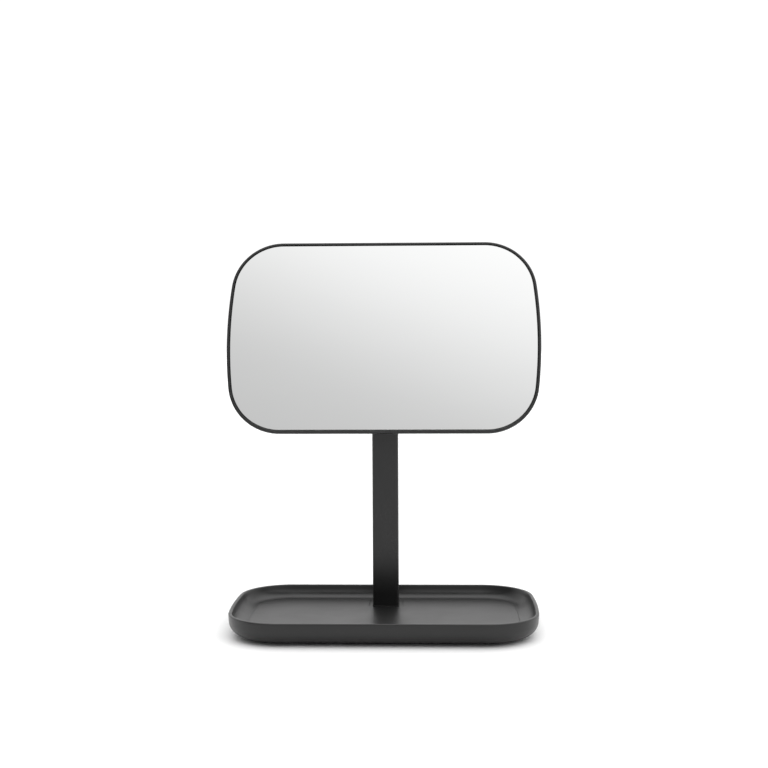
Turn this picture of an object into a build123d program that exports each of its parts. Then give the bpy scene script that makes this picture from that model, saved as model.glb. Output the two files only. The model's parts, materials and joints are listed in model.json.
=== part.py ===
from build123d import *
from math import atan2, cos, degrees, radians, sin, sqrt
import os

# Countertop mirror: a wide mirror in a shallow dished shell, held by a tilt and swivel
# knuckle on top of a flat stem, which stands in a weighted tray for small things.
# Millimetres. Origin on the table under the middle of the tray, +Z up, the mirror faces -Y.

# ---------------------------------------------------------------- driving dimensions

# Tray outline: straight long edges, round corners, slightly bowed short sides
TRAY_HALF_WIDTH = 110.4
TRAY_HALF_DEPTH = 64.9
TRAY_CORNER = 37.3
TRAY_BOW = 422.0

# Tray heights above the table
TRAY_BOTTOM = 1.8
TRAY_RIM = 17.0
DISH_FLOOR = 8.0
CAVITY_TOP = 5.4
WALL_DRAFT = 0.8
UNDER_RADIUS = 10.5
DISH_DRAFT = 2.5
RIM_WIDTH = 2.4
RIM_ROUND = 0.9
COVE_RADIUS = 9.0

# Mat laid in the dish
MAT_INSET = 13.4
MAT_THICKNESS = 1.3
MAT_RECESS = 1.0
MAT_GAP = 0.1
MAT_ROUND = 0.3
NOTCH_WIDTH = 25.0
NOTCH_FRONT = 25.2
NOTCH_ROUND = 3.0

# Underside: cavity, cover and ballast
CAVITY_INSET = 16.5
COVER_GAP = 0.25
COVER_THICKNESS = 1.2
BALLAST_THICKNESS = 2.2
BALLAST_MARGIN = 1.0
BOSS_DIAMETER = 7.0
BOSS_CLEARANCE = 0.5
BASE_SCREW = 2.6
BASE_SCREW_HEAD = 5.2
BASE_SCREW_TOP = 6.0
BASE_SCREW_X = 84.0
BASE_SCREW_Y = 34.0
REAR_SCREW_STEP = 12.0
FOOT_DIAMETER = 16.0
FOOT_RECESS = 0.6
FOOT_CHAMFER = 0.4
FOOT_X = 66.0
FOOT_Y = 36.0

# Stem: flat-faced rectangular tube
STEM_WIDTH = 19.3
STEM_DEPTH = 12.0
STEM_EDGE = 1.8
STEM_WALL = 1.5
STEM_Y = 33.0
STEM_BOTTOM = 8.8
STEM_TOP = 184.0
PLUG_FIT = 0.05
FOOT_PLUG_HEIGHT = 20.0
HEAD_PLUG_HEIGHT = 14.0
FOOT_PIN_HEIGHT = 15.0
HEAD_PIN_DEPTH = 7.0
FLANGE_THICKNESS = 3.0
PIN_DIAMETER = 2.5
PIN_INNER_X = 4.6
GASKET_OVERHANG = 0.2
STEM_BOLT = 4.0
STEM_BOLT_HEAD = 8.0
STEM_BOLT_X = 4.2
STEM_BOLT_LENGTH = 14.0
STEM_BOLT_SPARE = 1.0

# Swivel on top of the stem
STUD_DIAMETER = 4.0
RUNNING_FIT = 0.05
BUSH_WALL = 0.7
BUSH_FLANGE = 6.8
BUSH_FLANGE_THICKNESS = 0.8
SPRING_DIAMETER = 8.0
SPRING_THICKNESS = 0.8
NUT_FLATS = 7.0
NUT_HEIGHT = 5.0
STUD_BELOW_NUT = 1.2
STUD_IN_KNUCKLE = 9.0
SWIVEL_LIMIT = 45.0
STOP_RADIUS = 4.8
STOP_PIN = 2.0
STOP_PIN_LENGTH = 7.0
STOP_GROOVE = 2.4
STOP_DEPTH = 1.3
STOP_CLEARANCE = 0.3
KNUCKLE_BASE = 2.9
KNUCKLE_ROUND = 0.8

# Mirror head, measured from the tilt pin: x across, y up the mirror, z out of its face
HEAD_HALF_WIDTH = 113.2
HEAD_HALF_HEIGHT = 71.6
HEAD_CORNER = 37.7
HEAD_BOW = 323.0
HEAD_TILT = 18.0
HEAD_CENTRE_Y = 3.0
HEAD_CENTRE_Z = 210.5
SHELL_DEPTH = 11.0
SHELL_ROUND = 9.8
SHELL_WALL = 2.2
LIP_WIDTH = 1.8
LIP_ROUND = 1.1
LIP_STEP = 0.25
GLASS_THICKNESS = 3.0
GLASS_GAP = 0.12
GLASS_BEVEL = 0.8
TAPE_THICKNESS = 1.0
TAPE_WIDTH = 4.5
LEDGE_INSET = 8.0
POCKET_ROUND = 3.0
SAME_HEIGHT = 0.01
SUPPORT_SIZE = 26.0
SUPPORT_CORNER = 2.0
SUPPORT_X = 62.0
SUPPORT_Y = 22.0

# Tilt hinge between the knuckle and the head
EYE_RADIUS = 6.5
EYE_HALF_WIDTH = 6.0
EAR_THICKNESS = 2.5
FRICTION_THICKNESS = 0.8
FRICTION_DIAMETER = 11.0
BRACKET_WIDTH = 46.0
BRACKET_HEIGHT = 30.0
BRACKET_THICKNESS = 2.2
BRACKET_CORNER = 9.0
BRACKET_ROUND = 0.8
EAR_FLARE = 2.5
BRACKET_SCREW = 3.0
BRACKET_SCREW_HEAD = 5.5
BRACKET_SCREW_HEAD_HEIGHT = 2.0
BRACKET_SCREW_X = 17.0
BRACKET_SCREW_Y = 9.5
BACKING_MARGIN = 5.0
BACKING_CORNER = 5.0
BACKING_THICKNESS = 1.2
TILT_BOLT = 4.0
TILT_HEAD_DIAMETER = 7.0
TILT_HEAD_HEIGHT = 2.6
TILT_KEY_FLATS = 2.5
TILT_KEY_DEPTH = 1.6
TILT_SPRING_DIAMETER = 9.0
TILT_BOLT_PAST_NUT = 0.5

# ---------------------------------------------------------------- derived places

TRAY_OUTLINE = (TRAY_HALF_WIDTH, TRAY_HALF_DEPTH, TRAY_CORNER, TRAY_BOW)
HEAD_OUTLINE = (HEAD_HALF_WIDTH, HEAD_HALF_HEIGHT, HEAD_CORNER, HEAD_BOW)
MAT_FLOOR = DISH_FLOOR - MAT_RECESS
COVER_TOP = TRAY_BOTTOM + COVER_THICKNESS
BALLAST_BOTTOM = CAVITY_TOP - BALLAST_THICKNESS
PLUG_WIDTH = STEM_WIDTH - 2 * (STEM_WALL + PLUG_FIT)
PLUG_DEPTH = STEM_DEPTH - 2 * (STEM_WALL + PLUG_FIT)
HEAD_PLUG_BOTTOM = STEM_TOP - HEAD_PLUG_HEIGHT
FOOT_PIN_Z = STEM_BOTTOM + FOOT_PIN_HEIGHT
HEAD_PIN_Z = STEM_TOP - HEAD_PIN_DEPTH
PIN_LENGTH = STEM_WIDTH / 2 - PIN_INNER_X
FLANGE_TOP = STEM_TOP + FLANGE_THICKNESS
KNUCKLE_BOTTOM = FLANGE_TOP + BUSH_FLANGE_THICKNESS + RUNNING_FIT
BUSH_BORE = STUD_DIAMETER + 2 * RUNNING_FIT
BUSH_OUTER = BUSH_BORE + 2 * BUSH_WALL
SPRING_TOP = HEAD_PLUG_BOTTOM - RUNNING_FIT
NUT_BOTTOM = SPRING_TOP - SPRING_THICKNESS - NUT_HEIGHT
STOP_PIN_TOP = FLANGE_TOP - STOP_DEPTH + STOP_CLEARANCE + STOP_PIN_LENGTH

# The tilt pin crosses the swivel's axis, which is the middle of the stem
tilt = radians(HEAD_TILT)
FACE_HEIGHT = (STEM_Y - HEAD_CENTRE_Y) / cos(tilt)
pivot_y = STEM_Y
pivot_z = HEAD_CENTRE_Z - FACE_HEIGHT * sin(tilt)
head = Plane(origin=(0, pivot_y, pivot_z), x_dir=(1, 0, 0), z_dir=(0, -cos(tilt), sin(tilt)))

SHELL_BACK = FACE_HEIGHT - SHELL_DEPTH
SHELL_FLOOR = SHELL_BACK + SHELL_WALL
GLASS_FRONT = FACE_HEIGHT - LIP_STEP
GLASS_BACK = GLASS_FRONT - GLASS_THICKNESS
LEDGE = GLASS_BACK - TAPE_THICKNESS
BRACKET_BACK = SHELL_BACK - BRACKET_THICKNESS
BACKING_TOP = SHELL_FLOOR + BACKING_THICKNESS
EAR_INNER = EYE_HALF_WIDTH + RUNNING_FIT + FRICTION_THICKNESS
EAR_OUTER = EAR_INNER + EAR_THICKNESS


# ---------------------------------------------------------------- shared shapes

def bowed_sketch(plane, half_width, half_height, corner, bow):
    """Outline with straight long edges, round corners and slightly bowed short sides."""
    bow_x = half_width - bow
    corner_y = half_height - corner
    corner_x = bow_x + sqrt((bow - corner) ** 2 - corner_y**2)
    reach = degrees(atan2(corner_y, corner_x - bow_x))
    with BuildSketch(plane) as outline:
        with BuildLine():
            CenterArc((bow_x, 0), bow, -reach, 2 * reach)
            CenterArc((corner_x, corner_y), corner, reach, 90 - reach)
            Line((corner_x, half_height), (-corner_x, half_height))
            CenterArc((-corner_x, corner_y), corner, 90, 90 - reach)
            CenterArc((-bow_x, 0), bow, 180 - reach, 2 * reach)
            CenterArc((-corner_x, -corner_y), corner, 180 + reach, 90 - reach)
            Line((-corner_x, -half_height), (corner_x, -half_height))
            CenterArc((corner_x, -corner_y), corner, 270, 90 - reach)
        make_face()
    return outline.sketch


def tray_sketch(height, inset=0.0):
    """The tray's outline at a height, moved inwards by inset."""
    return bowed_sketch(Plane.XY.offset(height), *(size - inset for size in TRAY_OUTLINE))


def head_sketch(height, inset=0.0):
    """The mirror's outline at a height above the tilt pin, moved inwards by inset."""
    return bowed_sketch(head.offset(height), *(size - inset for size in HEAD_OUTLINE))


def mat_sketch(height, gap=0.0):
    """The mat's outline with the notch that clears the stem, made smaller by gap."""
    side = NOTCH_WIDTH / 2 + gap
    front = NOTCH_FRONT - gap
    back = TRAY_HALF_DEPTH - MAT_INSET - gap
    reach = side + 3 * NOTCH_ROUND
    corners = [(-reach, back), (-side, back), (-side, front), (side, front), (side, back), (reach, back)]
    with BuildSketch(Plane.XY.offset(height)) as mat_outline:
        add(bowed_sketch(Plane.XY, *(size - MAT_INSET - gap for size in TRAY_OUTLINE)))
        with BuildLine():
            FilletPolyline(*corners, radius=NOTCH_ROUND)
            Polyline(corners[-1], (reach, TRAY_HALF_DEPTH), (-reach, TRAY_HALF_DEPTH), corners[0])
        make_face(mode=Mode.SUBTRACT)
    return mat_outline.sketch


def stem_sketch(height, grow=0.0):
    """The stem's rounded rectangle at a height, made larger by grow on each side."""
    with BuildSketch(Plane((0, STEM_Y, height))) as section:
        RectangleRounded(STEM_WIDTH + 2 * grow, STEM_DEPTH + 2 * grow, STEM_EDGE + grow)
    return section.sketch


def plug_sketch(height):
    """A plug that fills the stem's bore, at a height."""
    with BuildSketch(Plane((0, STEM_Y, height))) as section:
        Rectangle(PLUG_WIDTH, PLUG_DEPTH)
    return section.sketch


def stem_pin_planes(height):
    """Planes at the inner ends of the two cross pins at a height, facing outwards."""
    right = Plane(origin=(PIN_INNER_X, STEM_Y, height), x_dir=(0, 1, 0), z_dir=(1, 0, 0))
    left = Plane(origin=(-PIN_INNER_X, STEM_Y, height), x_dir=(0, 1, 0), z_dir=(-1, 0, 0))
    return [right, left]


def stem_pins_here(height, mode):
    """The two cross pins at a height, added or cut."""
    for plane in stem_pin_planes(height):
        with BuildSketch(plane) as pin_section:
            Circle(PIN_DIAMETER / 2)
        extrude(pin_section.sketch, amount=PIN_LENGTH, mode=mode)


def save(part, name):
    """Label a finished piece and write its STEP file."""
    part.label = name
    export_step(part, f"parts/{name}.step")


os.makedirs("parts", exist_ok=True)

base_screw_places = [
    (x, y) for x in (-BASE_SCREW_X, 0, BASE_SCREW_X) for y in (-BASE_SCREW_Y, BASE_SCREW_Y)
]
# The middle rear screw steps forward to clear the stem bolts
base_screw_places[3] = (0, BASE_SCREW_Y - REAR_SCREW_STEP)
foot_places = [(x, y) for x in (-FOOT_X, FOOT_X) for y in (-FOOT_Y, FOOT_Y)]
stem_bolt_places = [(-STEM_BOLT_X, STEM_Y), (STEM_BOLT_X, STEM_Y)]

# ---------------------------------------------------------------- tray

with BuildPart() as tray:
    # Walls lean in towards the table and roll under in one large round
    loft([tray_sketch(TRAY_BOTTOM, WALL_DRAFT), tray_sketch(TRAY_RIM)], ruled=True)
    fillet(tray.edges().group_by(Axis.Z)[0], UNDER_RADIUS)
    dish_floor = tray_sketch(DISH_FLOOR, RIM_WIDTH + DISH_DRAFT)
    loft([dish_floor, tray_sketch(TRAY_RIM, RIM_WIDTH)], ruled=True, mode=Mode.SUBTRACT)
    fillet(tray.faces().filter_by_position(Axis.Z, DISH_FLOOR, DISH_FLOOR).edges(), COVE_RADIUS)
    fillet(tray.edges().group_by(Axis.Z)[-1], RIM_ROUND)
    # Recess that the mat lies in
    extrude(mat_sketch(MAT_FLOOR), amount=MAT_RECESS + 1, mode=Mode.SUBTRACT)
    # Cavity for the ballast and the cover, with screw bosses left standing
    extrude(tray_sketch(TRAY_BOTTOM, CAVITY_INSET), amount=CAVITY_TOP - TRAY_BOTTOM, mode=Mode.SUBTRACT)
    with BuildSketch(Plane.XY.offset(COVER_TOP)):
        with Locations(*base_screw_places):
            Circle(BOSS_DIAMETER / 2)
    extrude(amount=CAVITY_TOP - COVER_TOP)
    with BuildSketch(Plane.XY.offset(COVER_TOP)):
        with Locations(*base_screw_places):
            Circle(BASE_SCREW / 2)
    extrude(amount=BASE_SCREW_TOP - COVER_TOP, mode=Mode.SUBTRACT)
    with BuildSketch(Plane.XY.offset(CAVITY_TOP)):
        with Locations(*stem_bolt_places):
            Circle(STEM_BOLT / 2)
    extrude(amount=DISH_FLOOR - CAVITY_TOP, mode=Mode.SUBTRACT)
save(tray.part, "tray")

with BuildPart() as tray_mat:
    extrude(mat_sketch(MAT_FLOOR, MAT_GAP), amount=MAT_THICKNESS)
    fillet(tray_mat.edges().group_by(Axis.Z)[-1], MAT_ROUND)
save(tray_mat.part, "tray_mat")

# ---------------------------------------------------------------- underside

with BuildPart() as ballast_plate:
    extrude(tray_sketch(BALLAST_BOTTOM, CAVITY_INSET + BALLAST_MARGIN), amount=BALLAST_THICKNESS)
    with BuildSketch(Plane.XY.offset(BALLAST_BOTTOM)):
        with Locations(*base_screw_places):
            Circle(BOSS_DIAMETER / 2 + BOSS_CLEARANCE)
    extrude(amount=BALLAST_THICKNESS, mode=Mode.SUBTRACT)
    # Countersunk holes for the two bolts that pull the stem down
    with Locations(*[(x, y, BALLAST_BOTTOM) for x, y in stem_bolt_places]):
        Cone(
            STEM_BOLT_HEAD / 2,
            STEM_BOLT / 2,
            BALLAST_THICKNESS,
            align=(Align.CENTER, Align.CENTER, Align.MIN),
            mode=Mode.SUBTRACT,
        )
save(ballast_plate.part, "ballast_plate")

with BuildPart() as base_cover:
    extrude(tray_sketch(TRAY_BOTTOM, CAVITY_INSET + COVER_GAP), amount=COVER_THICKNESS)
    with BuildSketch(Plane.XY.offset(TRAY_BOTTOM)):
        with Locations(*foot_places):
            Circle(FOOT_DIAMETER / 2)
    extrude(amount=FOOT_RECESS, mode=Mode.SUBTRACT)
    with Locations(*[(x, y, TRAY_BOTTOM) for x, y in base_screw_places]):
        Cone(
            BASE_SCREW_HEAD / 2,
            BASE_SCREW / 2,
            COVER_THICKNESS,
            align=(Align.CENTER, Align.CENTER, Align.MIN),
            mode=Mode.SUBTRACT,
        )
save(base_cover.part, "base_cover")

with BuildPart() as base_feet:
    with BuildSketch(Plane.XY):
        with Locations(*foot_places):
            Circle(FOOT_DIAMETER / 2)
    extrude(amount=TRAY_BOTTOM + FOOT_RECESS)
    chamfer(base_feet.edges().group_by(Axis.Z)[0], FOOT_CHAMFER)
save(base_feet.part, "base_feet")

with BuildPart() as base_screws:
    with Locations(*[(x, y, TRAY_BOTTOM) for x, y in base_screw_places]):
        Cone(
            BASE_SCREW_HEAD / 2,
            BASE_SCREW / 2,
            COVER_THICKNESS,
            align=(Align.CENTER, Align.CENTER, Align.MIN),
        )
    with BuildSketch(Plane.XY.offset(COVER_TOP)):
        with Locations(*base_screw_places):
            Circle(BASE_SCREW / 2)
    extrude(amount=BASE_SCREW_TOP - COVER_TOP)
save(base_screws.part, "base_screws")

# ---------------------------------------------------------------- stem

with BuildPart() as stem_gasket:
    extrude(stem_sketch(DISH_FLOOR, GASKET_OVERHANG), amount=STEM_BOTTOM - DISH_FLOOR)
    with BuildSketch(Plane.XY.offset(DISH_FLOOR)):
        with Locations(*stem_bolt_places):
            Circle(STEM_BOLT / 2)
    extrude(amount=STEM_BOTTOM - DISH_FLOOR, mode=Mode.SUBTRACT)
save(stem_gasket.part, "stem_gasket")

with BuildPart() as stem:
    extrude(stem_sketch(STEM_BOTTOM), amount=STEM_TOP - STEM_BOTTOM)
    with BuildSketch(Plane((0, STEM_Y, STEM_BOTTOM))):
        Rectangle(STEM_WIDTH - 2 * STEM_WALL, STEM_DEPTH - 2 * STEM_WALL)
    extrude(amount=STEM_TOP - STEM_BOTTOM, mode=Mode.SUBTRACT)
    stem_pins_here(FOOT_PIN_Z, Mode.SUBTRACT)
    stem_pins_here(HEAD_PIN_Z, Mode.SUBTRACT)
save(stem.part, "stem")

with BuildPart() as stem_foot_plug:
    extrude(plug_sketch(STEM_BOTTOM), amount=FOOT_PLUG_HEIGHT)
    with BuildSketch(Plane.XY.offset(STEM_BOTTOM)):
        with Locations(*stem_bolt_places):
            Circle(STEM_BOLT / 2)
    extrude(amount=BALLAST_BOTTOM + STEM_BOLT_LENGTH + STEM_BOLT_SPARE - STEM_BOTTOM, mode=Mode.SUBTRACT)
    stem_pins_here(FOOT_PIN_Z, Mode.SUBTRACT)
save(stem_foot_plug.part, "stem_foot_plug")

with BuildPart() as stem_bolts:
    with Locations(*[(x, y, BALLAST_BOTTOM) for x, y in stem_bolt_places]):
        Cone(
            STEM_BOLT_HEAD / 2,
            STEM_BOLT / 2,
            BALLAST_THICKNESS,
            align=(Align.CENTER, Align.CENTER, Align.MIN),
        )
    with BuildSketch(Plane.XY.offset(CAVITY_TOP)):
        with Locations(*stem_bolt_places):
            Circle(STEM_BOLT / 2)
    extrude(amount=STEM_BOLT_LENGTH - BALLAST_THICKNESS)
save(stem_bolts.part, "stem_bolts")

with BuildPart() as stem_head_plug:
    extrude(plug_sketch(HEAD_PLUG_BOTTOM), amount=HEAD_PLUG_HEIGHT)
    extrude(stem_sketch(STEM_TOP), amount=FLANGE_THICKNESS)
    with BuildSketch(Plane((0, STEM_Y, HEAD_PLUG_BOTTOM))):
        Circle(BUSH_OUTER / 2)
    extrude(amount=FLANGE_TOP - HEAD_PLUG_BOTTOM, mode=Mode.SUBTRACT)
    stem_pins_here(HEAD_PIN_Z, Mode.SUBTRACT)
    # Curved groove that the stop pin runs in
    with BuildSketch(Plane((0, STEM_Y, FLANGE_TOP - STOP_DEPTH))):
        end_x = STOP_RADIUS * cos(radians(SWIVEL_LIMIT))
        end_y = STOP_RADIUS * sin(radians(SWIVEL_LIMIT))
        with BuildLine():
            CenterArc((0, 0), STOP_RADIUS + STOP_GROOVE / 2, -SWIVEL_LIMIT, 2 * SWIVEL_LIMIT)
            CenterArc((end_x, end_y), STOP_GROOVE / 2, SWIVEL_LIMIT, 180)
            CenterArc((0, 0), STOP_RADIUS - STOP_GROOVE / 2, SWIVEL_LIMIT, -2 * SWIVEL_LIMIT)
            CenterArc((end_x, -end_y), STOP_GROOVE / 2, 180 - SWIVEL_LIMIT, 180)
        make_face()
    extrude(amount=STOP_DEPTH, mode=Mode.SUBTRACT)
save(stem_head_plug.part, "stem_head_plug")

with BuildPart() as stem_pins:
    stem_pins_here(FOOT_PIN_Z, Mode.ADD)
    stem_pins_here(HEAD_PIN_Z, Mode.ADD)
save(stem_pins.part, "stem_pins")

with BuildPart() as swivel_bush:
    with BuildSketch(Plane((0, STEM_Y, HEAD_PLUG_BOTTOM))):
        Circle(BUSH_OUTER / 2)
    extrude(amount=FLANGE_TOP - HEAD_PLUG_BOTTOM)
    with BuildSketch(Plane((0, STEM_Y, FLANGE_TOP))):
        Circle(BUSH_FLANGE / 2)
    extrude(amount=BUSH_FLANGE_THICKNESS)
    with BuildSketch(Plane((0, STEM_Y, HEAD_PLUG_BOTTOM))):
        Circle(BUSH_BORE / 2)
    extrude(amount=KNUCKLE_BOTTOM - HEAD_PLUG_BOTTOM, mode=Mode.SUBTRACT)
save(swivel_bush.part, "swivel_bush")

# ---------------------------------------------------------------- knuckle

with BuildPart() as swivel_knuckle:
    extrude(stem_sketch(KNUCKLE_BOTTOM), amount=KNUCKLE_BASE)
    fillet(swivel_knuckle.edges().group_by(Axis.Z)[-1], KNUCKLE_ROUND)
    # Tongue with the eye of the tilt hinge, drawn from the side
    side = Plane(origin=(-EYE_HALF_WIDTH, STEM_Y, pivot_z), x_dir=(0, 1, 0), z_dir=(1, 0, 0))
    with BuildSketch(side):
        Circle(EYE_RADIUS)
        Rectangle(
            STEM_DEPTH - 2 * KNUCKLE_ROUND,
            pivot_z - KNUCKLE_BOTTOM - KNUCKLE_BASE / 2,
            align=(Align.CENTER, Align.MAX),
        )
    extrude(amount=2 * EYE_HALF_WIDTH)
    with BuildSketch(side):
        Circle(TILT_BOLT / 2 + RUNNING_FIT)
    extrude(amount=2 * EYE_HALF_WIDTH, mode=Mode.SUBTRACT)
    with BuildSketch(Plane((0, STEM_Y, KNUCKLE_BOTTOM))):
        Circle(STUD_DIAMETER / 2)
    extrude(amount=STUD_IN_KNUCKLE, mode=Mode.SUBTRACT)
    with BuildSketch(Plane((STOP_RADIUS, STEM_Y, KNUCKLE_BOTTOM))):
        Circle(STOP_PIN / 2)
    extrude(amount=STOP_PIN_TOP - KNUCKLE_BOTTOM, mode=Mode.SUBTRACT)
save(swivel_knuckle.part, "swivel_knuckle")

with BuildPart() as swivel_spring:
    with BuildSketch(Plane((0, STEM_Y, SPRING_TOP - SPRING_THICKNESS))):
        Circle(SPRING_DIAMETER / 2)
        Circle(STUD_DIAMETER / 2, mode=Mode.SUBTRACT)
    extrude(amount=SPRING_THICKNESS)
save(swivel_spring.part, "swivel_spring")

with BuildPart() as swivel_nut:
    with BuildSketch(Plane((0, STEM_Y, NUT_BOTTOM))):
        RegularPolygon(NUT_FLATS / 2, 6, major_radius=False)
        Circle(STUD_DIAMETER / 2, mode=Mode.SUBTRACT)
    extrude(amount=NUT_HEIGHT)
save(swivel_nut.part, "swivel_nut")

with BuildPart() as swivel_stud:
    with BuildSketch(Plane((0, STEM_Y, NUT_BOTTOM - STUD_BELOW_NUT))):
        Circle(STUD_DIAMETER / 2)
    extrude(amount=KNUCKLE_BOTTOM + STUD_IN_KNUCKLE - NUT_BOTTOM + STUD_BELOW_NUT)
save(swivel_stud.part, "swivel_stud")

with BuildPart() as stop_pin:
    with BuildSketch(Plane((STOP_RADIUS, STEM_Y, STOP_PIN_TOP - STOP_PIN_LENGTH))):
        Circle(STOP_PIN / 2)
    extrude(amount=STOP_PIN_LENGTH)
save(stop_pin.part, "stop_pin")

# ---------------------------------------------------------------- mirror head

bracket_screw_places = [
    (x, y) for x in (-BRACKET_SCREW_X, BRACKET_SCREW_X) for y in (-BRACKET_SCREW_Y, BRACKET_SCREW_Y)
]


def screw_circles(height):
    """The bracket screws' shanks, drawn at a height above the tilt pin."""
    with BuildSketch(head.offset(height)) as circles:
        with Locations(*bracket_screw_places):
            Circle(BRACKET_SCREW / 2)
    return circles.sketch


with BuildPart() as back_shell:
    extrude(head_sketch(SHELL_BACK), amount=SHELL_DEPTH)
    back_face = back_shell.faces().sort_by(Axis(head.origin, head.z_dir))[0]
    fillet(back_face.edges(), SHELL_ROUND)
    front_face = back_shell.faces().sort_by(Axis(head.origin, head.z_dir))[-1]
    fillet(front_face.edges(), LIP_ROUND)
    # Seat for the glass and its tape, then the hollow behind it
    extrude(head_sketch(LEDGE, LIP_WIDTH), amount=SHELL_DEPTH, mode=Mode.SUBTRACT)
    extrude(head_sketch(SHELL_FLOOR, LEDGE_INSET), amount=LEDGE - SHELL_FLOOR, mode=Mode.SUBTRACT)
    inner_floor = back_shell.faces().filter_by(
        lambda face: abs(head.to_local_coords(face.center()).Z - SHELL_FLOOR) < SAME_HEIGHT
    )
    fillet(inner_floor.edges(), POCKET_ROUND)
    extrude(screw_circles(SHELL_BACK), amount=SHELL_WALL, mode=Mode.SUBTRACT)
save(back_shell.part, "back_shell")

with BuildPart() as mirror_glass:
    extrude(head_sketch(GLASS_BACK, LIP_WIDTH + GLASS_GAP), amount=GLASS_THICKNESS)
    glass_front = mirror_glass.faces().sort_by(Axis(head.origin, head.z_dir))[-1]
    chamfer(glass_front.edges(), GLASS_BEVEL)
save(mirror_glass.part, "mirror_glass")

with BuildPart() as glass_tape:
    extrude(head_sketch(LEDGE, LIP_WIDTH + GLASS_BEVEL), amount=TAPE_THICKNESS)
    extrude(
        head_sketch(LEDGE, LIP_WIDTH + GLASS_BEVEL + TAPE_WIDTH),
        amount=TAPE_THICKNESS,
        mode=Mode.SUBTRACT,
    )
save(glass_tape.part, "glass_tape")

with BuildPart() as support_pads:
    with BuildSketch(head.offset(SHELL_FLOOR)):
        with GridLocations(2 * SUPPORT_X, 2 * SUPPORT_Y, 2, 2):
            RectangleRounded(SUPPORT_SIZE, SUPPORT_SIZE, SUPPORT_CORNER)
    extrude(amount=GLASS_BACK - SHELL_FLOOR)
save(support_pads.part, "support_pads")

with BuildPart() as backing_plate:
    with BuildSketch(head.offset(SHELL_FLOOR)):
        RectangleRounded(
            BRACKET_WIDTH + 2 * BACKING_MARGIN,
            BRACKET_HEIGHT + 2 * BACKING_MARGIN,
            BACKING_CORNER,
        )
    extrude(amount=BACKING_THICKNESS)
    extrude(screw_circles(SHELL_FLOOR), amount=BACKING_THICKNESS, mode=Mode.SUBTRACT)
save(backing_plate.part, "backing_plate")

with BuildPart() as hinge_bracket:
    with BuildSketch(head.offset(BRACKET_BACK)):
        RectangleRounded(BRACKET_WIDTH, BRACKET_HEIGHT, BRACKET_CORNER)
    extrude(amount=BRACKET_THICKNESS)
    outer_face = hinge_bracket.faces().sort_by(Axis(head.origin, head.z_dir))[0]
    fillet(outer_face.edges(), BRACKET_ROUND)
    for ear_x in (EAR_INNER, -EAR_OUTER):
        ear_origin = head.from_local_coords((ear_x, 0, 0))
        ear_plane = Plane(origin=ear_origin, x_dir=head.z_dir, z_dir=(1, 0, 0))
        with BuildSketch(ear_plane):
            Circle(EYE_RADIUS)
            Polygon(
                (0, -EYE_RADIUS),
                (BRACKET_BACK, -EYE_RADIUS - EAR_FLARE),
                (BRACKET_BACK, EYE_RADIUS + EAR_FLARE),
                (0, EYE_RADIUS),
                align=None,
            )
            Circle(TILT_BOLT / 2, mode=Mode.SUBTRACT)
        extrude(amount=EAR_THICKNESS)
    extrude(screw_circles(BRACKET_BACK), amount=BRACKET_THICKNESS, mode=Mode.SUBTRACT)
save(hinge_bracket.part, "hinge_bracket")

with BuildPart() as bracket_screws:
    extrude(screw_circles(BRACKET_BACK), amount=BACKING_TOP - BRACKET_BACK)
    with BuildSketch(head.offset(BACKING_TOP)):
        with Locations(*bracket_screw_places):
            Circle(BRACKET_SCREW_HEAD / 2)
    extrude(amount=BRACKET_SCREW_HEAD_HEIGHT)
save(bracket_screws.part, "bracket_screws")


# ---------------------------------------------------------------- tilt hinge

def across(x):
    """Plane square to the tilt pin at a distance along it, facing +X."""
    return Plane(origin=(x, pivot_y, pivot_z), x_dir=(0, 1, 0), z_dir=(1, 0, 0))


nut_x = EAR_OUTER + SPRING_THICKNESS
with BuildPart() as tilt_bolt:
    with BuildSketch(across(-EAR_OUTER)):
        Circle(TILT_BOLT / 2)
    extrude(amount=EAR_OUTER + nut_x + NUT_HEIGHT + TILT_BOLT_PAST_NUT)
    with BuildSketch(across(-EAR_OUTER - TILT_HEAD_HEIGHT)):
        Circle(TILT_HEAD_DIAMETER / 2)
    extrude(amount=TILT_HEAD_HEIGHT)
    with BuildSketch(across(-EAR_OUTER - TILT_HEAD_HEIGHT)):
        RegularPolygon(TILT_KEY_FLATS / 2, 6, major_radius=False)
    extrude(amount=TILT_KEY_DEPTH, mode=Mode.SUBTRACT)
save(tilt_bolt.part, "tilt_bolt")

with BuildPart() as tilt_washers:
    for washer_x in (EYE_HALF_WIDTH + RUNNING_FIT, -EAR_INNER):
        with BuildSketch(across(washer_x)):
            Circle(FRICTION_DIAMETER / 2)
            Circle(TILT_BOLT / 2, mode=Mode.SUBTRACT)
        extrude(amount=FRICTION_THICKNESS)
save(tilt_washers.part, "tilt_washers")

with BuildPart() as tilt_spring:
    with BuildSketch(across(EAR_OUTER)):
        Circle(TILT_SPRING_DIAMETER / 2)
        Circle(TILT_BOLT / 2, mode=Mode.SUBTRACT)
    extrude(amount=SPRING_THICKNESS)
save(tilt_spring.part, "tilt_spring")

with BuildPart() as tilt_nut:
    with BuildSketch(across(nut_x)):
        RegularPolygon(NUT_FLATS / 2, 6, major_radius=False)
        Circle(TILT_BOLT / 2, mode=Mode.SUBTRACT)
    extrude(amount=NUT_HEIGHT)
save(tilt_nut.part, "tilt_nut")
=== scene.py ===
import json
import math

import bmesh
import bpy
from mathutils import Matrix, Vector


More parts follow.
